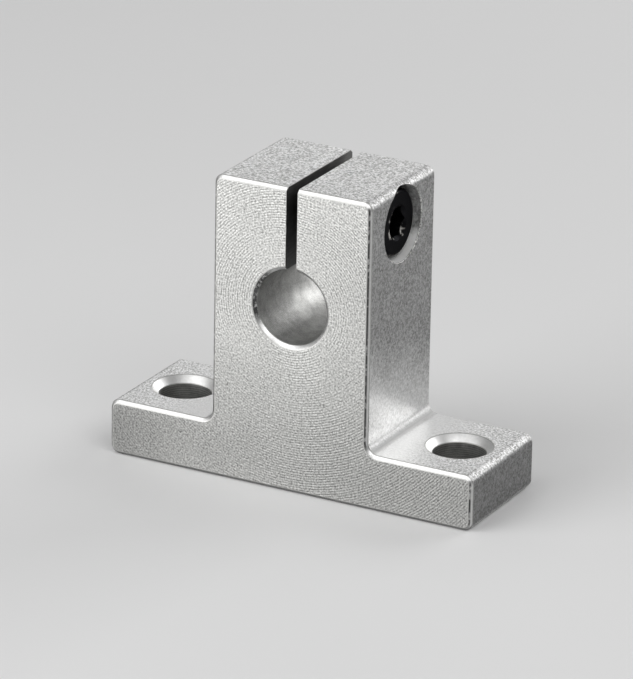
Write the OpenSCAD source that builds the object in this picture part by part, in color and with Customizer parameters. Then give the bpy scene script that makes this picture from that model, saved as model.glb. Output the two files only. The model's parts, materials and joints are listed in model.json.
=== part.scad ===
// Shaft support block: a one-piece aluminium foot and split clamp that grips the end of a
// round shaft, closed by one socket head cap screw across the slit.
//
// The origin is the middle of the mounting face, straight below the shaft's axis.
// +X runs along the base, +Y along the shaft, +Z up. The screw's head is on the +X side.

/* [Shaft clamp] */
// Diameter of the shaft that the clamp holds
shaft_d = 8; // [6:0.5:10]
// Height of the shaft's axis above the mounting face
shaft_height = 20; // [16:0.5:40]
// Width of the pillar that carries the bore, across both jaws
pillar_w = 18; // [17:0.5:21]
// Size of the block along the shaft
block_depth = 14; // [12:0.5:30]
// Width of the slit between the two jaws
slit_w = 1.2; // [0.8:0.1:2]
// Bevel at both mouths of the shaft's bore
bore_bevel = 0.4; // [0.1:0.05:0.6]
// Metal left between the shaft's bore and the clamp screw's hole
bore_wall = 2.35; // [1.5:0.05:5]
// Metal left over the screw head's pocket, below the block's top
top_wall = 0.2; // [0.2:0.1:3]

/* [Base] */
// Thickness of the base's two flanges
base_t = 6; // [4:0.5:12]
// Distance between the centres of the two mounting holes
hole_spacing = 32; // [31:0.5:60]
// Distance from a mounting hole's centre to the end of the base
hole_end = 5; // [4.5:0.5:12]
// Diameter of the mounting holes
hole_d = 5.5; // [4:0.1:6]
// Bevel at the upper mouth of each mounting hole
hole_bevel = 0.75; // [0.2:0.05:0.8]

/* [Edges] */
// Radius of the block's outer corners, seen along the shaft
corner_r = 1; // [0.5:0.1:1.6]
// Radius of the inside corners between pillar and base
fillet_r = 1.2; // [0.4:0.1:1.6]
// Bevel round the outline of the front and back faces
edge_bevel = 0.35; // [0.1:0.05:0.4]

/* [Clamp screw] */
// Thread diameter of the clamp screw
screw_d = 4; // [3:0.1:4.5]
// Diameter of the screw's head
head_d = 7; // [6:0.1:8]
// Height of the screw's head
head_h = 4; // [3:0.1:4.5]
// Rounding of the head's upper edge
head_round = 0.4; // [0.1:0.05:0.6]
// Rounding under the head, where it meets the shank
neck_r = 0.2; // [0.05:0.05:0.2]
// Width of the hexagon socket across its flats
socket_af = 3; // [2:0.1:3.5]
// Depth of the hexagon socket's flats
socket_depth = 2; // [1:0.1:2.5]
// Bevel at the screw's tip
tip_bevel = 0.5; // [0.2:0.05:0.8]
// How far the screw's tip stays inside the far side of the block
tip_inset = 1.4; // [0.6:0.1:3]

/* [Fits] */
// Room round the screw's head in its pocket, on the radius
head_room = 0.5; // [0.2:0.05:0.8]
// How far the head's top lies below the block's side
head_recess = 0.6; // [0.2:0.1:1.2]
// Room round the shank in the near jaw's plain hole, on the radius
shank_room = 0.25; // [0.25:0.05:0.5]
// Running clearance round the thread in the far jaw's tapped hole, on the radius
thread_room = 0.05; // [0.02:0.01:0.1]
// Bevel at the outer mouth of the tapped hole
tapped_bevel = 0.3; // [0.1:0.05:0.6]

/* [Hidden] */

$fn = 96;
hex_sides = 6;
hex_turn = 30;        // puts two of the socket's flats level, above and below
socket_point = 30;    // slope of the cone under the socket's flats
socket_lead = 0.15;   // how far the socket's lead-in cone reaches past its corners
overcut = 0.1;        // how far a cut runs past the face that it opens
inner_overlap = 0.5;  // how far joined solids reach into each other

// Block
base_l = hole_spacing + 2 * hole_end;
depth_half = block_depth / 2;
bore_r = shaft_d / 2;
hole_r = hole_d / 2;
jaw_face = pillar_w / 2;

// Clamp screw, its pocket and its holes
plain_hole_r = screw_d / 2 + shank_room;
tapped_hole_r = screw_d / 2 + thread_room;
pocket_r = head_d / 2 + head_room;
head_seat = jaw_face - head_recess - head_h;
screw_l = head_seat + jaw_face - tip_inset;
screw_z = shaft_height + bore_r + bore_wall + plain_hole_r;
block_top = screw_z + pocket_r + top_wall;

aluminium = [0.77, 0.77, 0.75];
black_oxide = [0.09, 0.09, 0.1];

// Turns a shape drawn along Z so that it runs along Y, the shaft's direction
module along_shaft() {
    rotate([90, 0, 0]) children();
}

// Turns a shape drawn along Z so that it runs along X, the screw's direction
module along_screw() {
    rotate([0, 90, 0]) children();
}

// Rectangle centred on the origin whose corners are cut off at 45 degrees
module bevelled_rectangle(width, height, bevel) {
    x = width / 2;
    y = height / 2;
    polygon([
        [x, bevel - y], [x, y - bevel], [x - bevel, y], [bevel - x, y],
        [-x, y - bevel], [-x, bevel - y], [bevel - x, -y], [x - bevel, -y]
    ]);
}

// Round post along Z, centred on the origin, with a bevel at both ends
module bevelled_post(radius, length, bevel) {
    end = length / 2;
    rotate_extrude()
        polygon([
            [0, -end], [radius - bevel, -end], [radius, bevel - end],
            [radius, end - bevel], [radius - bevel, end], [0, end]
        ]);
}

// Cutter for a round hole along Z, centred on the origin, that flares out at its mouths.
// A flare at 45 degrees opens the upper mouth, and the lower one where both is true.
module flared_cutter(radius, length, flare, both = true) {
    top = length / 2;
    low_flare = both ? flare : 0;
    rotate_extrude()
        polygon([
            [0, -top - overcut],
            [radius + low_flare + (both ? overcut : 0), -top - overcut],
            [radius, low_flare - top],
            [radius, top - flare],
            [radius + flare + overcut, top + overcut],
            [0, top + overcut]
        ]);
}

// Plate that stands across the shaft, with round corners and bevelled front and back outlines.
// Its lower edge is at the given height, and its middle on the shaft's plane.
module rounded_plate(width, height, low) {
    straight_w = width - 2 * corner_r;
    straight_h = height - 2 * corner_r;
    translate([0, 0, low + height / 2]) {
        rotate([90, 0, 90])
            linear_extrude(height = straight_w, center = true)
                bevelled_rectangle(block_depth, height, edge_bevel);
        linear_extrude(height = straight_h, center = true)
            bevelled_rectangle(width, block_depth, edge_bevel);
        for (x = [-1, 1], z = [-1, 1])
            translate([x * straight_w / 2, 0, z * straight_h / 2])
                along_shaft() bevelled_post(corner_r, block_depth, edge_bevel);
    }
}

// Metal in the inside corner between pillar and base, on the given side of the pillar
module inside_corner(side) {
    reach = fillet_r + edge_bevel + inner_overlap;
    mid_x = side * (jaw_face + fillet_r);
    mid_z = base_t + fillet_r;
    difference() {
        translate([mid_x - side * reach / 2, 0, mid_z - reach / 2])
            cube([reach, block_depth, reach], center = true);
        translate([mid_x, 0, mid_z])
            along_shaft() flared_cutter(fillet_r, block_depth, edge_bevel);
    }
}

// Solid outline of the block, before its holes and its slit are cut
module block_body() {
    pillar_low = base_t / 2;
    rounded_plate(base_l, base_t, 0);
    rounded_plate(pillar_w, block_top - pillar_low, pillar_low);
    for (side = [-1, 1])
        inside_corner(side);
}

// The shaft's bore and the slit that opens it to the top
module shaft_cut() {
    translate([0, 0, shaft_height])
        along_shaft() flared_cutter(bore_r, block_depth, bore_bevel);
    translate([-slit_w / 2, -depth_half - overcut, shaft_height])
        cube([slit_w, block_depth + 2 * overcut, block_top - shaft_height + overcut]);
}

// The head's pocket, the plain hole in the near jaw and the tapped hole in the far one
module screw_cut() {
    translate([0, 0, screw_z]) {
        translate([head_seat, 0, 0])
            along_screw() cylinder(r = pocket_r, h = jaw_face - head_seat + overcut);
        along_screw() cylinder(r = plain_hole_r, h = head_seat + overcut);
        translate([-jaw_face / 2, 0, 0])
            along_screw() mirror([0, 0, 1])
                flared_cutter(tapped_hole_r, jaw_face, tapped_bevel, both = false);
    }
}

// One mounting hole down through a flange of the base
module mounting_hole(x) {
    translate([x, 0, base_t / 2])
        flared_cutter(hole_r, base_t, hole_bevel, both = false);
}

module block() {
    color(aluminium)
        difference() {
            block_body();
            shaft_cut();
            screw_cut();
            for (side = [-1, 1])
                mounting_hole(side * hole_spacing / 2);
        }
}

// Round head with a rounded upper edge, seated on Z = 0
module screw_head() {
    radius = head_d / 2;
    cylinder(r = radius, h = head_h - head_round);
    cylinder(r = radius - head_round, h = head_h);
    translate([0, 0, head_h - head_round])
        rotate_extrude()
            translate([radius - head_round, 0]) circle(r = head_round);
}

// Shank from inside the head down to its bevelled tip, with a hollow rounding at the neck
module screw_shank() {
    radius = screw_d / 2;
    rotate_extrude()
        polygon([
            [0, inner_overlap], [radius, inner_overlap], [radius, tip_bevel - screw_l],
            [radius - tip_bevel, -screw_l], [0, -screw_l]
        ]);
    rotate_extrude()
        difference() {
            translate([radius - neck_r, -neck_r])
                square([2 * neck_r, neck_r + inner_overlap]);
            translate([radius + neck_r, -neck_r]) circle(r = neck_r);
        }
}

// Hexagon socket with a conical floor and a lead-in cone at its mouth, below Z = 0
module socket_cut() {
    corner = socket_af / 2 / cos(hex_turn);
    floor_h = socket_af / 2 * tan(socket_point);
    lead_r = corner + socket_lead;
    rotate(hex_turn)
        translate([0, 0, -socket_depth])
            cylinder(r = corner, h = socket_depth + overcut, $fn = hex_sides);
    translate([0, 0, -socket_depth - floor_h])
        cylinder(r1 = 0, r2 = socket_af / 2, h = floor_h);
    translate([0, 0, -lead_r])
        cylinder(r1 = 0, r2 = lead_r + overcut, h = lead_r + overcut);
}

module clamp_screw() {
    color(black_oxide)
        translate([head_seat, 0, screw_z])
            along_screw()
                difference() {
                    union() {
                        screw_head();
                        screw_shank();
                    }
                    translate([0, 0, head_h]) socket_cut();
                }
}

block();
clamp_screw();
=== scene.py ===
import json
from math import atan2, ceil, cos, hypot, pi, radians, sin, tan

import bmesh
import bpy
from bpy.props import FloatProperty, FloatVectorProperty, IntProperty, PointerProperty
from mathutils import Matrix, Vector


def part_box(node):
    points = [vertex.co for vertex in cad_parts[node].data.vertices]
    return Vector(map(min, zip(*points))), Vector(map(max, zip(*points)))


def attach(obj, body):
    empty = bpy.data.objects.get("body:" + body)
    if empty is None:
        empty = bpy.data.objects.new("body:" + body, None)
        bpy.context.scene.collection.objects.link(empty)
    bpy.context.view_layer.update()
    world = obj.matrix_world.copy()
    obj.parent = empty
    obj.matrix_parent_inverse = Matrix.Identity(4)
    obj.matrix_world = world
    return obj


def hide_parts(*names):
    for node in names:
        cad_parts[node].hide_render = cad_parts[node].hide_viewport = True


bl_info = {
    "name": "Shaft support block",
    "version": (1, 0, 0),
    "blender": (4, 5, 0),
    "location": "3D View > Sidebar > Shaft support",
    "description": "Dresses a shaft support block and its screw, and sets up a studio",
    "category": "Add Mesh",
}

MM = 0.001

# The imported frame, and the places and sizes that the pieces take from it, in millimetres

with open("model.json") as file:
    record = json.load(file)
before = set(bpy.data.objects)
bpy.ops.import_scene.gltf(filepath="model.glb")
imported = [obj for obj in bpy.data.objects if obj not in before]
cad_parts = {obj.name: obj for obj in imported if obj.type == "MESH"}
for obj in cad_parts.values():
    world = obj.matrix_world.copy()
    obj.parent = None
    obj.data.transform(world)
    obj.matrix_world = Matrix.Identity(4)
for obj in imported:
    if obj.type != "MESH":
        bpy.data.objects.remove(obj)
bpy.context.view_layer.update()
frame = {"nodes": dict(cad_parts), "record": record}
mounts = {mount["name"]: mount for mount in frame["record"]["mounts"]}
turning = frame["record"]["behaviour"]["joints"][0]


def cad_size(node):
    """Lowest and highest corner of a CAD node, in millimetres"""
    low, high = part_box(node)
    return low / MM, high / MM


_, BLOCK_HIGH = cad_size("block")
SCREW_LOW, SCREW_HIGH = cad_size("clamp_screw")
BORE_Z = mounts["shaft_bore"]["pos_m"][2] / MM
BORE_R = mounts["shaft_bore"]["dims"]["r_mm"]
HOLE_X = mounts["base_bolts"]["dims"]["spacing_x_mm"] / 2
HOLE_R = mounts["base_bolts"]["dims"]["hole_r_mm"]
SCREW_Z = turning["pos_m"][2] / MM
HEAD_TOP_X = SCREW_HIGH.x
TIP_X = SCREW_LOW.x
HEAD_R = SCREW_HIGH.y
CAD_BLOCK = frame["nodes"]["block"].data
JAW_X = max(v.co.x for v in CAD_BLOCK.vertices if v.co.z > BORE_Z * MM) / MM
FACE_Y = BLOCK_HIGH.y

# The block's other sizes, in millimetres

BASE_TOP = 6.0
POCKET_R = 4.0
POCKET_EASE = 0.12
CORNER_R = 1.0
TOOL_PITCH = 0.24


# Settings shown in the sidebar


class BlockSettings(bpy.types.PropertyGroup):
    """Sizes and colours of the aluminium block"""

    broken_edge: FloatProperty(
        name="Broken edge",
        description="Width taken off every sharp edge",
        default=0.07 * MM,
        min=0.02 * MM,
        max=0.12 * MM,
        precision=5,
        unit="LENGTH",
    )
    edge_steps: IntProperty(
        name="Edge steps",
        description="Faces across each broken edge",
        default=3,
        min=1,
        max=4,
    )
    aluminium: FloatVectorProperty(
        name="Aluminium",
        description="Colour of the blasted metal",
        default=(0.62, 0.62, 0.605),
        min=0.0,
        max=1.0,
        subtype="COLOR",
    )
    bright_aluminium: FloatVectorProperty(
        name="Bright aluminium",
        description="Colour of freshly cut bevels",
        default=(0.90, 0.90, 0.89),
        min=0.0,
        max=1.0,
        subtype="COLOR",
    )
    ring_pitch: FloatProperty(
        name="Facing pitch",
        description="Distance between the rings that the facing tool left round the bore",
        default=0.27 * MM,
        min=0.1 * MM,
        max=1.0 * MM,
        precision=5,
        unit="LENGTH",
    )


class ScrewSettings(bpy.types.PropertyGroup):
    """Sizes and colour of the cap screw"""

    pitch: FloatProperty(
        name="Thread pitch",
        description="Distance between neighbouring threads",
        default=0.7 * MM,
        min=0.35 * MM,
        max=1.0 * MM,
        precision=5,
        unit="LENGTH",
    )
    key_width: FloatProperty(
        name="Key width",
        description="Width of the hexagon socket across its flats",
        default=3.0 * MM,
        min=2.0 * MM,
        max=3.5 * MM,
        precision=5,
        unit="LENGTH",
    )
    knurl_ridges: IntProperty(
        name="Knurl ridges",
        description="Number of ridges round the head",
        default=48,
        min=24,
        max=64,
    )
    black_oxide: FloatVectorProperty(
        name="Black oxide",
        description="Colour of the screw's finish",
        default=(0.012, 0.012, 0.013),
        min=0.0,
        max=1.0,
        subtype="COLOR",
    )
    bare_steel: FloatVectorProperty(
        name="Bare steel",
        description="Colour where the finish is rubbed off",
        default=(0.58, 0.56, 0.53),
        min=0.0,
        max=1.0,
        subtype="COLOR",
    )


class StageSettings(bpy.types.PropertyGroup):
    """Floor, lamps and camera"""

    azimuth: FloatProperty(
        name="Azimuth",
        description="Direction of the camera round the block, from straight in front",
        default=radians(28.07),
        subtype="ANGLE",
    )
    elevation: FloatProperty(
        name="Elevation",
        description="Height of the camera above the horizon",
        default=radians(21.01),
        subtype="ANGLE",
    )
    roll: FloatProperty(
        name="Roll",
        description="Turn of the camera about its own axis",
        default=radians(1.03),
        subtype="ANGLE",
    )
    distance: FloatProperty(
        name="Distance",
        description="Distance of the camera from the middle of the block",
        default=0.5727,
        unit="LENGTH",
    )
    lens: FloatProperty(
        name="Lens",
        description="Focal length, in millimetres, for a sensor 36 mm on its longer side",
        default=297.6,
        unit="CAMERA",
    )
    floor_colour: FloatVectorProperty(
        name="Floor",
        description="Colour of the floor",
        default=(0.79, 0.79, 0.79),
        min=0.0,
        max=1.0,
        subtype="COLOR",
    )
    world_light: FloatProperty(
        name="World light",
        description="Strength of the even light from all round",
        default=0.17,
        min=0.0,
        max=1.0,
    )


# Shader nodes


class Value:
    """A shader socket. Arithmetic on it adds Math nodes."""

    def __init__(self, shader, socket):
        self.shader = shader
        self.socket = socket

    def math(self, operation, *values):
        sockets = dict(enumerate(values))
        return self.shader.node("ShaderNodeMath", {"operation": operation}, sockets)

    def __add__(self, other):
        return self.math("ADD", self, other)

    def __sub__(self, other):
        return self.math("SUBTRACT", self, other)

    def __rsub__(self, other):
        return self.math("SUBTRACT", other, self)

    def __mul__(self, other):
        return self.math("MULTIPLY", self, other)

    def __truediv__(self, other):
        return self.math("DIVIDE", self, other)

    def __rtruediv__(self, other):
        return self.math("DIVIDE", other, self)

    def __pow__(self, other):
        return self.math("POWER", self, other)

    def __rpow__(self, other):
        return self.math("POWER", other, self)

    __radd__ = __add__
    __rmul__ = __mul__

    def clamped(self):
        return self.math("MINIMUM", self.math("MAXIMUM", self, 0.0), 1.0)

    def ramp(self, start, end):
        """0 up to start, 1 past end and straight between. Start may be the larger."""
        return ((self - start) / (end - start)).clamped()

    def sine(self):
        return self.math("SINE", self)


class Shader:
    """One material with a Principled BSDF, and the means to build its nodes"""

    def __init__(self, name):
        self.material = bpy.data.materials.new(name)
        self.material.use_nodes = True
        self.tree = self.material.node_tree
        self.principled = self.tree.nodes["Principled BSDF"]
        self.mm = self.scaled(self.node("ShaderNodeTexCoord", output="Object"), 1 / MM)

    def node(self, kind, settings=None, sockets=None, output=0):
        """Adds a node: its settings first, then the values or links of its sockets"""
        node = self.tree.nodes.new(kind)
        for name, setting in (settings or {}).items():
            setattr(node, name, setting)
        for name, value in (sockets or {}).items():
            self.connect(value, node.inputs[name])
        return Value(self, node.outputs[output])

    def connect(self, value, socket):
        if isinstance(value, Value):
            self.tree.links.new(value.socket, socket)
        else:
            socket.default_value = value

    def vector(self, operation, *values):
        sockets = dict(enumerate(values))
        return self.node("ShaderNodeVectorMath", {"operation": operation}, sockets)

    def axes(self, vector):
        """The three numbers of a vector"""
        split = self.node("ShaderNodeSeparateXYZ", sockets={0: vector}).socket.node
        return [Value(self, socket) for socket in split.outputs]

    def place(self):
        """Where a point of the piece is, in millimetres along the three axes"""
        return self.axes(self.mm)

    def facing(self):
        """Which way the surface faces, along the three axes"""
        return self.axes(self.node("ShaderNodeTexCoord", output="Normal"))

    def scaled(self, vector, factor):
        """A vector or a colour times a number"""
        sockets = {0: vector, "Scale": factor}
        return self.node("ShaderNodeVectorMath", {"operation": "SCALE"}, sockets)

    def waves(self, place, pitch, wander):
        """Even waves from 0 to 1 along a place in millimetres, shifted by an angle"""
        return (place * (2 * pi / pitch) + wander).sine() * 0.5 + 0.5

    def noise(self, size, detail, roughness=0.5, stretch=(1.0, 1.0, 1.0), shift=0.0):
        """Noise from 0 to 1 whose features are about the given size in millimetres"""
        place = self.vector("MULTIPLY_ADD", self.mm, stretch, (shift, shift, shift))
        sockets = {
            "Vector": place,
            "Scale": 1 / size,
            "Detail": detail,
            "Roughness": roughness,
        }
        return self.node("ShaderNodeTexNoise", sockets=sockets)

    def dents(self, size, shift):
        """Round dents of about the given size: 0 in their middles, and towards 1 between"""
        place = self.vector("ADD", self.mm, (shift, shift, shift))
        settings = {"feature": "SMOOTH_F1"}
        sockets = {"Vector": place, "Scale": 1 / size, "Smoothness": 0.4}
        return self.node("ShaderNodeTexVoronoi", settings, sockets, output="Distance")

    def mix(self, factor, low, high):
        """The colour low where factor is 0, and high where it is 1"""
        # Inputs 6 and 7 and output 2 are the node's sockets for colours
        settings = {"data_type": "RGBA", "blend_type": "MIX"}
        sockets = {0: factor, 6: (*low, 1.0), 7: (*high, 1.0)}
        return self.node("ShaderNodeMix", settings, sockets, output=2)

    def bump(self, height, depth, strength):
        """Normal of a relief whose height runs from 0 to 1 over depth in millimetres"""
        sockets = {"Height": height, "Distance": depth * MM, "Strength": strength}
        return self.node("ShaderNodeBump", sockets=sockets)

    def finish(self, **sockets):
        """Fills the Principled BSDF's sockets and returns the material"""
        for name, value in sockets.items():
            self.connect(value, self.principled.inputs[name.replace("_", " ").title()])
        return self.material


def shade(colour, factor):
    """A plain colour times a number, at most white"""
    return tuple(min(1.0, channel * factor) for channel in colour)


def distance(across, up):
    """Distance of a point from an axis, from its two offsets square to it"""
    return (across * across + up * up) ** 0.5


# Finishes of the block


def blasted_aluminium(name, colour, contrast=1.0):
    """Outside of the block: blasted with coarse grit, an even speckle of light and dark.
    Painted shade darkens the upright sides, most at the far ends and least low on the
    pillar, where painted light stands in for light thrown back from the base; it also
    darkens the roundings and the fillet. Painted light brightens the base's tops. The grit
    is finer in the corner between pillar and base."""
    s = Shader(name)
    grit = s.noise(0.24, detail=2.0, roughness=0.6)
    fine = s.noise(0.13, detail=1.0, shift=19.0)
    dents = s.dents(0.42, shift=7.0)
    cloud = s.noise(3.5, detail=2.0, shift=31.0)
    tone = (grit.ramp(0.38, 0.62) - 0.5) * 0.80 + (fine.ramp(0.3, 0.7) - 0.5) * 0.60
    tone = tone + (dents.ramp(0.15, 0.6) - 0.5) * 0.25 + (cloud - 0.5) * 0.25
    x_way, _, z_way = s.facing()
    x, y, z = s.place()
    beside = (x_way * x_way).ramp(0.5, 0.96)
    on_base = z_way.ramp(0.7, 0.98) * z.ramp(BASE_TOP + 3.0, BASE_TOP + 1.0)
    near_base = z.ramp(BASE_TOP, BASE_TOP + 0.6) * (z + y * 0.3).ramp(17.0, 9.5) ** 1.3
    far_out = (x * x).ramp(11.5**2, 18.0**2)
    rounding = (x_way * x_way).ramp(0.05, 0.3) * (1.0 - beside)
    fillet = rounding * z.ramp(BASE_TOP + 4.0, BASE_TOP + 2.0) * (1.0 - far_out)
    calm = on_base * (0.85 - far_out * 0.85) + beside * (near_base * 0.5 + 0.2)
    calm = (calm + fillet * 0.7).clamped()
    tone = (tone * (1.0 - calm) * contrast + 0.5).clamped()
    base = s.mix(tone, shade(colour, 0.50), shade(colour, 1.40))
    # Painted shade: the upright sides are darker, more at the far ends, and not low on the
    # pillar, where painted light stands in for light thrown back from the base; the
    # roundings and the fillet are darker to soften their highlights.
    painted_shade = beside * (0.59 + far_out * 0.12 - near_base * 0.59)
    painted_shade = painted_shade + rounding * 0.12 + fillet * 0.24
    # Painted light: the base's tops are brighter, except at the far ends.
    base = s.scaled(base, on_base * (1.0 - far_out) * 0.1 + 1.0 - painted_shade)
    relief = (grit * 0.7 + fine * 0.25 + dents * 0.4) * (1.0 - calm * 0.6)
    return s.finish(
        base_color=base,
        metallic=1.0,
        roughness=0.44 - tone * 0.08 + rounding * 0.2,
        normal=s.bump(relief, 0.032, 1.0),
    )


def faced_aluminium(name, colour, pitch):
    """Front and back: faced on a lathe round the bore's axis, then lightly blasted. Painted
    shade darkens the lower part, most of all at the left end."""
    s = Shader(name)
    x, _, z = s.place()
    wander = s.noise(0.9, detail=1.0, shift=5.0)
    rings = s.waves(distance(x, z - BORE_Z), pitch, wander * 2.5)
    low = z.ramp(17.0, 4.0)
    break_up = s.noise(0.5, detail=2.0, shift=23.0).ramp(0.35, 0.6)
    lower_right = low * x.ramp(-11.0, 0.0)
    cut = s.noise(6.0, detail=2.0, shift=17.0).ramp(0.42, 0.58) * (0.75 - low * 0.45)
    cut = cut + lower_right * 0.75
    cut = cut * (break_up * 0.6 + 0.4)
    grit = s.noise(0.21, detail=2.0, roughness=0.6, shift=3.0)
    pits = s.noise(0.45, detail=1.0, shift=47.0).ramp(0.68, 0.76)
    cloud = s.noise(4.5, detail=2.0, shift=71.0)
    tone = (grit.ramp(0.34, 0.66) - 0.5) * 0.85 + (rings - 0.5) * (0.05 + cut * 0.65)
    tone = tone + (cloud - 0.5) * 0.2 - pits * 0.4 + 0.52
    tone = tone.clamped()
    base = s.mix(tone, shade(colour, 0.48), shade(colour, 1.36))
    # Painted shade: the lower part is darker, most of all at the left end, and the upper
    # right is a little darker.
    left_end = x.ramp(-11.0, -20.0)
    right = x.ramp(-2.0, 9.0) * z.ramp(31.0, 24.0)
    base = s.scaled(base, 1.0 - low * (0.27 + left_end * 0.2) - right * 0.09)
    relief = grit * 0.6 + rings * (0.05 + cut * 0.30) - pits * 0.3
    return s.finish(
        base_color=base,
        metallic=1.0,
        roughness=0.56 - tone * 0.14,
        normal=s.bump(relief, 0.045, 1.0),
    )


def cut_aluminium(name, colour, depth=0.006, roughness=0.3, outlined=False, burr_shadow=False):
    """A bevel or an edge cut bright, with faint chatter. An outlined one is darkened by
    painted shade where it stands upright or faces down, and is nearly black along the face
    that it comes from. One with a burr shadow has a dark, ragged patch on the bore's left,
    painted shadow as of a burr."""
    s = Shader(name)
    chatter = s.noise(0.3, detail=2.0, shift=13.0)
    stain = s.noise(1.6, detail=2.0, shift=29.0)
    tone = (chatter - 0.5) * 0.9 + (stain - 0.5) * 0.5 + 0.55
    base = s.mix(tone.clamped(), shade(colour, 0.84), shade(colour, 1.08))
    if outlined:
        _, y, _ = s.place()
        x_way, _, z_way = s.facing()
        # Painted shade darkens upright parts and, below, parts that face down. Upright
        # parts are also nearly black in a ragged line along the face they come from.
        upright = (x_way * x_way).ramp(0.15, 0.45)
        line = (y * y).ramp((FACE_Y - 0.22) ** 2, (FACE_Y - 0.13) ** 2)
        ragged = s.noise(0.7, detail=3.0, shift=83.0).ramp(0.32, 0.46)
        base = s.scaled(base, 1.0 - upright * (0.25 + line * ragged * 0.65))
        base = s.scaled(base, 1.0 - z_way.ramp(-0.2, -0.5) * 0.6)
    # Painted shadow of a burr: a dark, ragged patch on the bore's left.
    if burr_shadow:
        x, _, z = s.place()
        left = x.ramp(-2.0, -3.0) * z.ramp(BORE_Z - 2.6, BORE_Z - 1.2)
        torn = s.noise(0.3, detail=5.0, roughness=0.8, shift=97.0).ramp(0.38, 0.5)
        base = s.scaled(base, 1.0 - left * torn * 0.9)
    return s.finish(
        base_color=base,
        metallic=1.0,
        roughness=roughness + (1.0 - chatter) * 0.16,
        normal=s.bump(chatter, depth, 0.8),
    )


def bored_aluminium(name, colour, along, dark, roughness=0.34, ringed=0.10):
    """Wall of a hole, with the fine rings that a tool leaves across the hole's axis. The
    shaft's bore has painted light, brighter towards the back."""
    s = Shader(name)
    place = s.place()["xyz".index(along)]
    wander = s.noise(1.2, detail=2.0, shift=9.0)
    rings = s.waves(place, TOOL_PITCH, wander * 3.0)
    grit = s.noise(0.14, detail=2.0, shift=21.0)
    stretch = tuple(0.5 if axis == along else 1.0 for axis in "xyz")
    smear = s.noise(0.9, detail=3.0, stretch=stretch)
    blotch = s.noise(1.3, detail=4.0, roughness=0.6, shift=53.0).ramp(0.34, 0.66)
    tone = rings * ringed + grit * 0.7 + smear * 0.25 + blotch * 0.4 - 0.2 - ringed / 2
    base = s.mix(tone.clamped(), shade(colour, dark), shade(colour, 1.05))
    # Painted light: the shaft's bore is brighter towards the back, where light comes in at
    # its far end.
    if along == "y":
        base = s.scaled(base, place.ramp(-2.0, 5.0) * 0.9 + 1.0)
    return s.finish(
        base_color=base,
        metallic=1.0,
        roughness=roughness + (smear - 0.5) * 0.18,
        normal=s.bump(rings * 0.15 + grit * 0.6 + blotch * 0.7, 0.03, 0.9),
    )


def counterbored_aluminium(name, colour):
    """Wall of the head's pocket: bright with painted light in its lower part, and darker
    with mottled painted shade above
    """
    s = Shader(name)
    _, _, z = s.place()
    edge = s.noise(0.8, detail=3.0, shift=37.0)
    # Painted light on the lower part of the wall, painted shade above it, with a ragged
    # edge between.
    painted_light_below = (z + edge * 1.6).ramp(SCREW_Z - 0.6, SCREW_Z - 1.5)
    smear = s.noise(0.4, detail=4.0, roughness=0.7, shift=59.0).ramp(0.4, 0.62)
    grit = s.noise(0.16, detail=2.0, shift=43.0)
    tone = painted_light_below * (grit * 0.2 + 0.9) + (1.0 - painted_light_below) * smear * 0.35
    base = s.mix(tone, shade(colour, 0.20), shade(colour, 1.08))
    return s.finish(
        base_color=base,
        metallic=0.0,
        roughness=0.4,
        normal=s.bump(grit, 0.02, 0.8),
    )


def sawn_aluminium(name, colour):
    """Walls of the slit: straight saw marks along the shaft, a little dirty, and made dark
    with painted shade
    """
    s = Shader(name)
    marks = s.noise(0.16, detail=2.0, stretch=(1.0, 0.12, 1.0), shift=2.0)
    dirt = s.noise(1.4, detail=3.0, shift=61.0)
    tone = marks * 0.7 + dirt * 0.5 - 0.1
    # Painted shade: the slit's walls run from nearly black to dark grey.
    base = s.mix(tone.clamped(), shade(colour, 0.12), shade(colour, 0.42))
    return s.finish(
        base_color=base,
        metallic=1.0,
        roughness=0.42 + dirt * 0.15,
        normal=s.bump(marks, 0.02, 0.8),
    )


# Meshes


def new_mesh(name, shape):
    """Ends the work on a shape and keeps it as a mesh"""
    mesh = bpy.data.meshes.new(name)
    shape.to_mesh(mesh)
    shape.free()
    return mesh


def new_object(name, data):
    """Puts an object with the given data in the scene"""
    item = bpy.data.objects.new(name, data)
    bpy.context.scene.collection.objects.link(item)
    return item


def new_piece(name, mesh, body, stands_for=()):
    """Rides a mesh on its body, and hides the nodes that it stands for"""
    piece = new_object(name, mesh)
    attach(piece, body)
    for node in stands_for:
        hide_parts(node)
    return piece


def smooth_mesh(mesh, sharp_angle):
    """Smooth shading, with edges kept sharp above an angle in degrees"""
    mesh.polygons.foreach_set("use_smooth", [True] * len(mesh.polygons))
    mesh.set_sharp_from_angle(angle=radians(sharp_angle))


def weight_normals(piece):
    """Lets the large faces set the shading of the narrow ones beside them"""
    modifier = piece.modifiers.new("Weighted normals", "WEIGHTED_NORMAL")
    modifier.mode = "FACE_AREA"
    modifier.weight = 50
    modifier.keep_sharp = True


# The block

# Distances in millimetres that tell the block's faces and edges apart

SLACK = 0.05
BEVEL_REACH = 0.45
HOLE_BEVEL_REACH = 0.9
SLIT_REACH = 1.0
OVER_PLAIN_HOLE_R = 3.0
HOLE_BEVEL_Z = 4.0
IN_PLANE = 0.001
ON_RIM = 0.02

# How far a face's direction goes along an axis, from 0 to 1 where the face is square to it

OFF_AXIS = 0.02
ALONG_SHAFT = 0.05
TILTED = 0.3
STEEP = 0.95
SQUARE = 0.99
FLAT = 0.999

# How the block's mesh is cleaned and cut: distances in metres, angles in degrees

MERGE_REACH = 2e-7
CUT_REACH = 2e-6
FLAT_ANGLE = 0.2
EDGE_ANGLE = 25
BLOCK_SHARP = 40


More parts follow.
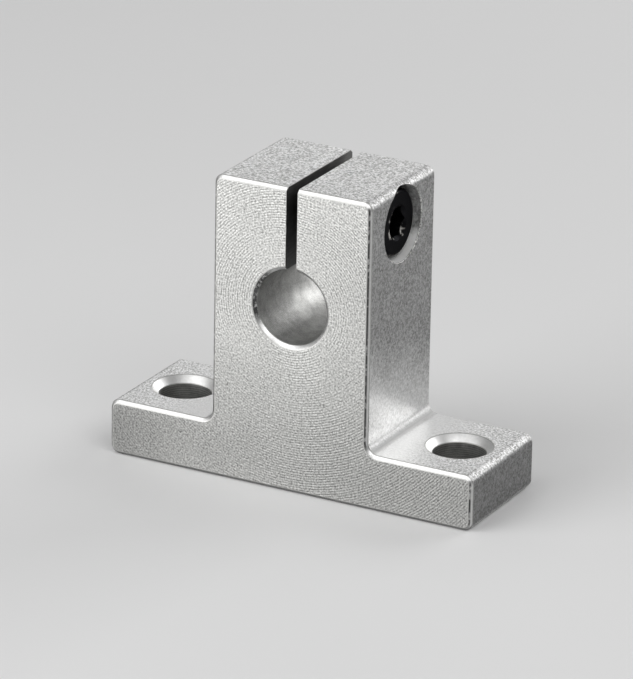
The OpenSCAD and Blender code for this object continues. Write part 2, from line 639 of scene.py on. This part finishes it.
def zone_of(face):
    """Which finish a face of the block has, from where it is and which way it looks"""
    at = face.calc_center_median() / MM
    way = face.normal
    from_bore = hypot(at.x, at.z - BORE_Z)
    from_screw = hypot(at.y, at.z - SCREW_Z)
    from_hole = hypot(abs(at.x) - HOLE_X, at.y)
    to_screw = -(way.y * at.y + way.z * (at.z - SCREW_Z))
    if abs(at.y) > FACE_Y - BEVEL_REACH and abs(way.y) > TILTED:
        if abs(way.y) > FLAT:
            return "faced"
        return "bore_bevel" if from_bore < BORE_R + BEVEL_REACH else "edge_bevel"
    if from_bore < BORE_R + SLACK:
        return "bored"
    if abs(at.x) < SLIT_REACH and abs(way.x) > SQUARE and at.z > BORE_Z:
        return "sawn"
    if at.z > BORE_Z and from_screw < POCKET_R + SLACK and abs(at.x) < JAW_X - SLACK:
        if abs(way.x) > SQUARE:
            return "cross_drilled"
        if to_screw > 0.0:
            if abs(way.x) > TILTED:
                return "countersunk"
            return "pocket" if from_screw > OVER_PLAIN_HOLE_R else "cross_drilled"
    if from_hole < HOLE_R + SLACK and abs(way.z) < TILTED:
        return "drilled"
    sloping = TILTED < way.z < STEEP and at.z > HOLE_BEVEL_Z
    if sloping and from_hole < HOLE_R + HOLE_BEVEL_REACH:
        return "countersunk"
    return "blasted"


def bevel_edges(shape, edges, width, zone, **settings):
    """Takes a width off edges and gives the new faces a finish"""
    bmesh.ops.bevel(
        shape,
        geom=edges,
        offset=width,
        offset_type="OFFSET",
        profile=0.5,
        affect="EDGES",
        clamp_overlap=False,
        material=zone,
        **settings,
    )


def cut_rounding(shape):
    """Cuts the rounding above the pocket into strips along the shaft, one for each of its
    facets"""
    axis = Vector((JAW_X - CORNER_R, 0.0, BLOCK_HIGH.z - CORNER_R)) * MM
    faces = []
    for face in shape.faces:
        out = face.calc_center_median() - axis
        way = face.normal
        rounded = abs(way.y) < ALONG_SHAFT and min(way.x, way.z) > OFF_AXIS
        if rounded and min(out.x, out.z) > 0.0:
            faces.append(face)
    whole = bmesh.ops.dissolve_faces(shape, faces=faces)["region"]
    edges = [edge for face in whole for edge in face.edges]
    corners = [corner for face in whole for corner in face.verts]
    end_y = (FACE_Y - BEVEL_REACH) * MM
    ends = [corner.co - axis for corner in corners if abs(corner.co.y) > end_y]
    angles = sorted({round(atan2(end.z, end.x), 3) for end in ends})[1:-1]
    parts = list(dict.fromkeys((*whole, *edges, *corners)))
    for angle in angles:
        across = Vector((-sin(angle), 0.0, cos(angle)))
        parts = bmesh.ops.bisect_plane(
            shape, geom=parts, dist=CUT_REACH, plane_co=axis, plane_no=across
        )["geom"]


def ease_pocket(shape, zone):
    """Takes off the edge of the pocket's mouth where it lies in the flat of the side"""
    mouth = []
    for edge in shape.edges:
        places = [v.co / MM for v in edge.verts]
        in_side = all(abs(p.x - JAW_X) < IN_PLANE for p in places)
        on_rim = all(abs(hypot(p.y, p.z - SCREW_Z) - POCKET_R) < ON_RIM for p in places)
        if in_side and on_rim:
            mouth.append(edge)
    bevel_edges(shape, mouth, POCKET_EASE * MM, zone, segments=1)


def block_finishes(settings):
    """The block's materials, by zone"""
    metal = tuple(settings.aluminium)
    bright = tuple(settings.bright_aluminium)
    pitch = settings.ring_pitch / MM
    return {
        "blasted": blasted_aluminium("Blasted aluminium", shade(metal, 1.24)),
        "faced": faced_aluminium("Faced aluminium", shade(metal, 1.15), pitch),
        "broken": cut_aluminium("Broken edges", metal, roughness=0.45, outlined=True),
        "edge_bevel": cut_aluminium("Edge bevels", bright, roughness=0.34, outlined=True),
        "bore_bevel": cut_aluminium("Bore bevels", bright, depth=0.012, burr_shadow=True),
        "countersunk": cut_aluminium("Hole bevels", bright, roughness=0.4),
        # Painted shade: the shaft's bore has a darker copy of the metal and a darker low
        # end.
        "bored": bored_aluminium(
            "Bored aluminium", shade(metal, 0.72), "y", dark=0.36, roughness=0.5
        ),
        "drilled": bored_aluminium(
            "Drilled aluminium", metal, "z", dark=0.4, roughness=0.48, ringed=0.5
        ),
        "cross_drilled": bored_aluminium("Cross-drilled aluminium", metal, "x", dark=0.5),
        "pocket": counterbored_aluminium("Counterbored aluminium", bright),
        "pocket_rim": blasted_aluminium("Pocket rim", metal, contrast=1.6),
        "sawn": sawn_aluminium("Sawn aluminium", metal),
    }


class SHAFTSUPPORT_OT_block(bpy.types.Operator):
    """Make the aluminium block, with broken edges and a finish for each way it is cut"""

    bl_idname = "shaftsupport.block"
    bl_label = "Block"

    def execute(self, context):
        settings = context.scene.shaft_support_block
        finishes = block_finishes(settings)
        zones = list(finishes)
        shape = bmesh.new()
        shape.from_mesh(CAD_BLOCK)
        bmesh.ops.remove_doubles(shape, verts=shape.verts, dist=MERGE_REACH)
        bmesh.ops.dissolve_limit(
            shape,
            angle_limit=radians(FLAT_ANGLE),
            use_dissolve_boundaries=False,
            verts=shape.verts,
            edges=shape.edges,
            delimit=set(),
        )
        cut_rounding(shape)
        for face in shape.faces:
            face.material_index = zones.index(zone_of(face))
        rim = zones.index("pocket_rim")
        ease_pocket(shape, rim)
        corners = [
            edge
            for edge in shape.edges
            if edge.is_manifold
            and edge.calc_face_angle(0.0) > radians(EDGE_ANGLE)
            and all(face.material_index != rim for face in edge.link_faces)
        ]
        bevel_edges(
            shape,
            corners,
            settings.broken_edge,
            zones.index("broken"),
            segments=settings.edge_steps,
            loop_slide=True,
            miter_outer="SHARP",
            miter_inner="SHARP",
        )
        mesh = new_mesh("block_dressed", shape)
        for material in finishes.values():
            mesh.materials.append(material)
        smooth_mesh(mesh, BLOCK_SHARP)
        piece = new_piece(
            "block_dressed", mesh, "block_body", ["block"]
        )
        weight_normals(piece)
        return {"FINISHED"}


# The cap screw, sizes in millimetres

HEAD_H = 4.0
HEAD_ROUND = 0.4
HEAD_FLAT_R = 2.3
SEAT_BEVEL = 0.15
SEAT_RING = 0.9
KNURL_LOW = 0.45
KNURL_TOP_GAP = 0.05
KNURL_DEPTH = 0.12
SOCKET_DEPTH = 2.0
SOCKET_LEAD = 0.15
SHANK_R = 2.0
NECK_R = 0.2
TIP_BEVEL = 0.5
TIP_GAP = 0.05
TAPPED_R = 2.05
TAPPED_BEVEL = 0.3
TAPPED_POINTS = 96

# How far the threads stay off the plain walls of the CAD, and reach into the jaw's metal

CREST_INSET = 0.01
RUN_OUT = 0.02
THREAD_BACK = 0.03

# Rows of points along one pitch, the depths of both threads as shares of the pitch, and
# where a crest ends and a root starts as shares of half a pitch

THREAD_STEPS = 16
TAPPED_STEPS = 24
SCREW_THREAD = 0.6134
TAPPED_THREAD = 0.5413
CREST = 0.14
ROOT = 0.80

# Angle in degrees above which an edge of the screw stays sharp

SCREW_SHARP = 35


def thread_share(turns):
    """How deep a thread is cut at a place in turns: 0 on its crest and 1 in its root"""
    place = abs(turns % 1.0 - 0.5) * 2.0
    return min(1.0, max(0.0, (place - CREST) / (ROOT - CREST)))


def spread(start, end, steps):
    """Places from start to end, in even steps"""
    return [start + (end - start) * step / steps for step in range(steps + 1)]


def quarter_turn(steps):
    """Cosine and sine of the angles of a quarter turn, in even steps"""
    return [(cos(angle), sin(angle)) for angle in spread(0.0, pi / 2, steps)]


def ring_mesh(name, rings, end_x=None):
    """Surface round the screw's axis through rings of (x, radii). A ring may have half as
    many points as the one before it. With end_x, a point there closes the first and the
    last ring, and without it the last ring is joined to the first."""
    shape = bmesh.new()
    rows = []
    for x, radii in rings:
        row = []
        for i, radius in enumerate(radii):
            angle = 2 * pi * i / len(radii)
            place = Vector((x, radius * cos(angle), SCREW_Z + radius * sin(angle)))
            row.append(shape.verts.new(place * MM))
        rows.append(row)
    pairs = list(zip(rows, rows[1:]))
    if end_x is None:
        pairs.append((rows[-1], rows[0]))
    for row, following in pairs:
        count = len(following)
        for i in range(count):
            j = (i + 1) % count
            if len(row) == count:
                shape.faces.new((row[i], row[j], following[j], following[i]))
            else:
                middle = row[2 * i + 1]
                shape.faces.new((row[2 * i], middle, following[i]))
                shape.faces.new((middle, following[j], following[i]))
                shape.faces.new((middle, row[2 * j], following[j]))
    if end_x is not None:
        for row, x in ((rows[0], end_x[0]), (rows[-1], end_x[1])):
            middle = shape.verts.new(Vector((x, 0.0, SCREW_Z)) * MM)
            for i in range(len(row)):
                shape.faces.new((row[i - 1], row[i], middle))
    bmesh.ops.recalc_face_normals(shape, faces=shape.faces)
    return new_mesh(name, shape)


def socket_rings(key_r, points):
    """Rings up the hexagon socket, from near its floor's middle to its lead-in's rim"""
    floor_x = HEAD_TOP_X - SOCKET_DEPTH
    lead_r = key_r / cos(pi / 6) + SOCKET_LEAD
    lead_x = HEAD_TOP_X - (lead_r - key_r)
    angles = [2 * pi * i / points % (pi / 3) - pi / 6 for i in range(points)]
    hexagon = [key_r / cos(angle) for angle in angles]
    rings = []
    for share in (0.03, 0.35, 0.7, 0.97, 1.0):
        x = floor_x - key_r * (1.0 - share) * tan(pi / 6)
        rings.append((x, [key_r * share] * points))
    rings.append((floor_x, hexagon))
    for share in (0.03, 0.5, 1.0):
        rings.append((floor_x + (lead_x - floor_x) * share, hexagon))
    for x in spread(lead_x, HEAD_TOP_X, 8)[1:]:
        cone = lead_r - (HEAD_TOP_X - x)
        rings.append((x, [max(radius, cone) for radius in hexagon]))
    return rings


def head_rings(points, ridges, seat_x):
    """Rings over the head: its flat top, rounded edge, knurled side and seat"""
    inner_r = HEAD_R - HEAD_ROUND
    rings = [(HEAD_TOP_X, [radius] * points) for radius in (HEAD_FLAT_R, inner_r - 0.1)]
    for cosine, sine in quarter_turn(6):
        x = HEAD_TOP_X - HEAD_ROUND * (1 - cosine)
        rings.append((x, [inner_r + HEAD_ROUND * sine] * points))
    high_x, low_x = HEAD_TOP_X - HEAD_ROUND - KNURL_TOP_GAP, seat_x + KNURL_LOW
    wave = [0.5 - 0.5 * cos(2 * pi * ridges * i / points) for i in range(points)]
    run_in = ((0.0, 0.0), (0.03, 0.6), (0.08, 1.0), (0.5, 1.0))
    run_out = ((0.92, 1.0), (0.97, 0.6), (1.0, 0.0))
    for share, deep in run_in + run_out:
        x = high_x + (low_x - high_x) * share
        rings.append((x, [HEAD_R - KNURL_DEPTH * deep * w for w in wave]))
    rings.append((seat_x + SEAT_BEVEL, [HEAD_R] * points))
    rings.append((seat_x, [HEAD_R - SEAT_BEVEL] * points))
    rings.append((seat_x, [SHANK_R + SEAT_RING] * points))
    rings.append((seat_x, [SHANK_R + NECK_R] * points))
    return rings


def shank_rings(points, pitch, seat_x):
    """Rings down the shank: the hollow at its neck, its thread and its bevelled tip"""
    depth = SCREW_THREAD * pitch
    rings = []
    for cosine, sine in quarter_turn(3)[1:]:
        x = seat_x - NECK_R * (1 - cosine)
        rings.append((x, [SHANK_R + NECK_R * (1 - sine)] * points))
    start_x = seat_x - NECK_R - RUN_OUT
    for x in spread(start_x, TIP_X, int((start_x - TIP_X) / pitch * THREAD_STEPS)):
        begun = min(1.0, (start_x - x) / pitch)
        limit = SHANK_R - max(0.0, TIP_BEVEL - (x - TIP_X))
        radii = []
        for i in range(points):
            share = thread_share(x / pitch - i / points) * begun
            radii.append(min(limit, SHANK_R - CREST_INSET - depth * share))
        rings.append((x, radii))
    return rings


def black_oxide(name, colour, bare):
    """Blackened steel, slightly grainy, rubbed bare at the socket's mouth and the rim"""
    s = Shader(name)
    grain = s.noise(0.12, detail=3.0, roughness=0.6)
    patch = s.noise(0.9, detail=3.0, shift=11.0)
    x, y, z = s.place()
    from_axis = distance(y, z - SCREW_Z)
    mouth = from_axis.ramp(2.25, 2.0) * x.ramp(HEAD_TOP_X - 0.45, HEAD_TOP_X - 0.15)
    rim = from_axis.ramp(HEAD_R - 0.3, HEAD_R - 0.15)
    rim = rim * x.ramp(HEAD_TOP_X - 0.4, HEAD_TOP_X - 0.2)
    rub = mouth * patch.ramp(0.54, 0.64) + rim * patch.ramp(0.52, 0.62) * 0.5
    specks = grain.ramp(0.62, 0.74) * patch.ramp(0.5, 0.7) * 0.3
    rub = (rub * grain.ramp(0.3, 0.5) + specks).clamped()
    base = s.mix(rub, colour, bare)
    return s.finish(
        base_color=base,
        metallic=1.0,
        roughness=0.30 + patch * 0.14 - rub * 0.1,
        specular_tint=(0.5, 0.5, 0.5, 1.0),
        normal=s.bump(grain, 0.015, 0.8),
    )


class SHAFTSUPPORT_OT_clamp_screw(bpy.types.Operator):
    """Make the black cap screw, with its knurled head, hexagon socket and thread"""

    bl_idname = "shaftsupport.clamp_screw"
    bl_label = "Clamp screw"

    def execute(self, context):
        settings = context.scene.shaft_support_screw
        pitch = settings.pitch / MM
        ridges = settings.knurl_ridges
        points = 4 * ridges
        seat_x = HEAD_TOP_X - HEAD_H
        rings = socket_rings(settings.key_width / MM / 2, points)
        rings += head_rings(points, ridges, seat_x)
        rings += shank_rings(points // 2, pitch, seat_x)
        mesh = ring_mesh("cap_screw", rings, (rings[0][0], TIP_X))
        black, bare = tuple(settings.black_oxide), tuple(settings.bare_steel)
        mesh.materials.append(black_oxide("Black oxide", black, bare))
        smooth_mesh(mesh, SCREW_SHARP)
        new_piece("cap_screw", mesh, "screw_body", ["clamp_screw"])
        return {"FINISHED"}


class SHAFTSUPPORT_OT_tapped_hole(bpy.types.Operator):
    """Make the open end of the thread in the far jaw, beyond the screw's tip"""

    bl_idname = "shaftsupport.tapped_hole"
    bl_label = "Tapped hole"

    def execute(self, context):
        pitch = context.scene.shaft_support_screw.pitch / MM
        depth = TAPPED_THREAD * pitch
        inner_x = TIP_X - TIP_GAP
        mouth_x = TAPPED_BEVEL - RUN_OUT - JAW_X
        steps = ceil((inner_x - mouth_x) / pitch * TAPPED_STEPS)
        rings = []
        for x in spread(inner_x, mouth_x, steps):
            cone = TAPPED_R + TAPPED_BEVEL - (x + JAW_X)
            radii = []
            for i in range(TAPPED_POINTS):
                share = thread_share(x / pitch - i / TAPPED_POINTS)
                radii.append(min(max(TAPPED_R - depth * share, cone), TAPPED_R + RUN_OUT))
            rings.append((x, radii))
        for x in (mouth_x, inner_x):
            rings.append((x, [TAPPED_R + THREAD_BACK] * TAPPED_POINTS))
        mesh = ring_mesh("tapped_thread", rings)
        metal = tuple(context.scene.shaft_support_block.aluminium)
        mesh.materials.append(bored_aluminium("Tapped aluminium", metal, "x", dark=0.6))
        smooth_mesh(mesh, SCREW_SHARP)
        new_piece("tapped_thread", mesh, "block_body")
        return {"FINISHED"}


# The stage, in metres and watts

FLOOR_HALF = 1.5
LAMP_AIM = (0.0, 0.0, 0.016)
CAMERA_AIM = (0.0, 0.0, 0.0164)
CAMERA_ASIDE = 0.00062
CAMERA_BELOW = 0.00189

# Name, place, width, height and power of each lamp

LAMPS = (
    ("Key lamp", (-0.30, -0.38, 0.17), 0.42, 0.38, 1.62),
    ("Top lamp", (-0.10, -0.15, 0.38), 0.30, 0.24, 0.40),
    ("Right lamp", (0.22, -0.16, 0.32), 0.24, 0.24, 0.42),
    ("Back lamp", (-0.12, 0.42, 0.18), 0.50, 0.13, 0.27),
    ("Side lamp", (0.20, 0.37, 0.18), 0.30, 0.26, 0.72),
)


def area_lamp(name, place, width, height, power):
    """A soft rectangular lamp that looks at the block"""
    light = bpy.data.lights.new(name, "AREA")
    light.shape = "RECTANGLE"
    light.size, light.size_y = width, height
    light.energy = power
    lamp = new_object(name, light)
    lamp.location = place
    towards = Vector(LAMP_AIM) - Vector(place)
    lamp.rotation_euler = towards.to_track_quat("-Z", "Y").to_euler()


def floor_finish(colour):
    """Pale, dull floor with wide, faint clouds"""
    s = Shader("Floor")
    cloud = s.noise(60.0, detail=2.0)
    base = s.mix(cloud, shade(colour, 0.985), shade(colour, 1.015))
    return s.finish(base_color=base, roughness=0.7)


class SHAFTSUPPORT_OT_stage(bpy.types.Operator):
    """Make the floor, the lamps, the world and the camera"""

    bl_idname = "shaftsupport.stage"
    bl_label = "Stage"

    def execute(self, context):
        settings = context.scene.shaft_support_stage
        shape = bmesh.new()
        bmesh.ops.create_grid(shape, x_segments=8, y_segments=8, size=FLOOR_HALF)
        mesh = new_mesh("floor", shape)
        mesh.materials.append(floor_finish(tuple(settings.floor_colour)))
        floor = new_object("floor", mesh)

        for lamp in LAMPS:
            area_lamp(*lamp)

        world = bpy.data.worlds.new("Studio")
        context.scene.world = world
        world.use_nodes = True
        background = world.node_tree.nodes["Background"]
        background.inputs["Color"].default_value = (1.0, 1.0, 1.0, 1.0)
        background.inputs["Strength"].default_value = settings.world_light
        context.scene.view_settings.view_transform = "Standard"
        self.add_camera(context, settings)
        return {"FINISHED"}

    def add_camera(self, context, settings):
        """Camera in the given direction, turned on its own axis, aimed beside the middle"""
        a, e, r = settings.azimuth, settings.elevation, settings.roll
        back = Vector((sin(a) * cos(e), -cos(a) * cos(e), sin(e)))
        level = Vector((cos(a), sin(a), 0.0))
        raised = back.cross(level)
        across = level * cos(r) + raised * sin(r)
        upward = raised * cos(r) - level * sin(r)
        place = Vector(CAMERA_AIM) - across * CAMERA_ASIDE - upward * CAMERA_BELOW
        place = place + back * settings.distance
        data = bpy.data.cameras.new("Camera")
        data.sensor_width = 36.0
        data.sensor_fit = "AUTO"
        data.lens = settings.lens
        data.clip_start = 0.01
        camera = new_object("Camera", data)
        turn = Matrix((across, upward, back)).transposed().to_4x4()
        camera.matrix_world = Matrix.Translation(place) @ turn
        context.scene.camera = camera


class SHAFTSUPPORT_PT_panel(bpy.types.Panel):
    """Lists the pieces and their settings"""

    bl_idname = "SHAFTSUPPORT_PT_panel"
    bl_label = "Shaft support block"
    bl_space_type = "VIEW_3D"
    bl_region_type = "UI"
    bl_category = "Shaft support"

    def draw(self, context):
        for group, operator in PANEL_ROWS:
            settings = getattr(context.scene, group)
            box = self.layout.box()
            box.operator(operator.bl_idname)
            for name in settings.__annotations__:
                box.prop(settings, name)


SETTINGS = {
    "shaft_support_block": BlockSettings,
    "shaft_support_screw": ScrewSettings,
    "shaft_support_stage": StageSettings,
}
PANEL_ROWS = (
    ("shaft_support_block", SHAFTSUPPORT_OT_block),
    ("shaft_support_screw", SHAFTSUPPORT_OT_clamp_screw),
    ("shaft_support_screw", SHAFTSUPPORT_OT_tapped_hole),
    ("shaft_support_stage", SHAFTSUPPORT_OT_stage),
)
CLASSES = (
    *SETTINGS.values(),
    *(operator for _, operator in PANEL_ROWS),
    SHAFTSUPPORT_PT_panel,
)


def register():
    """Adds the operators, the panel and the settings to Blender"""
    for cls in CLASSES:
        bpy.utils.register_class(cls)
    for name, group in SETTINGS.items():
        setattr(bpy.types.Scene, name, PointerProperty(type=group))


def unregister():
    """Takes out what register added"""
    for name in SETTINGS:
        delattr(bpy.types.Scene, name)
    for cls in reversed(CLASSES):
        bpy.utils.unregister_class(cls)


def main():
    register()
    bpy.ops.shaftsupport.block()
    bpy.ops.shaftsupport.clamp_screw()
    bpy.ops.shaftsupport.tapped_hole()
    bpy.ops.shaftsupport.stage()


if __name__ == "__main__":
    main()
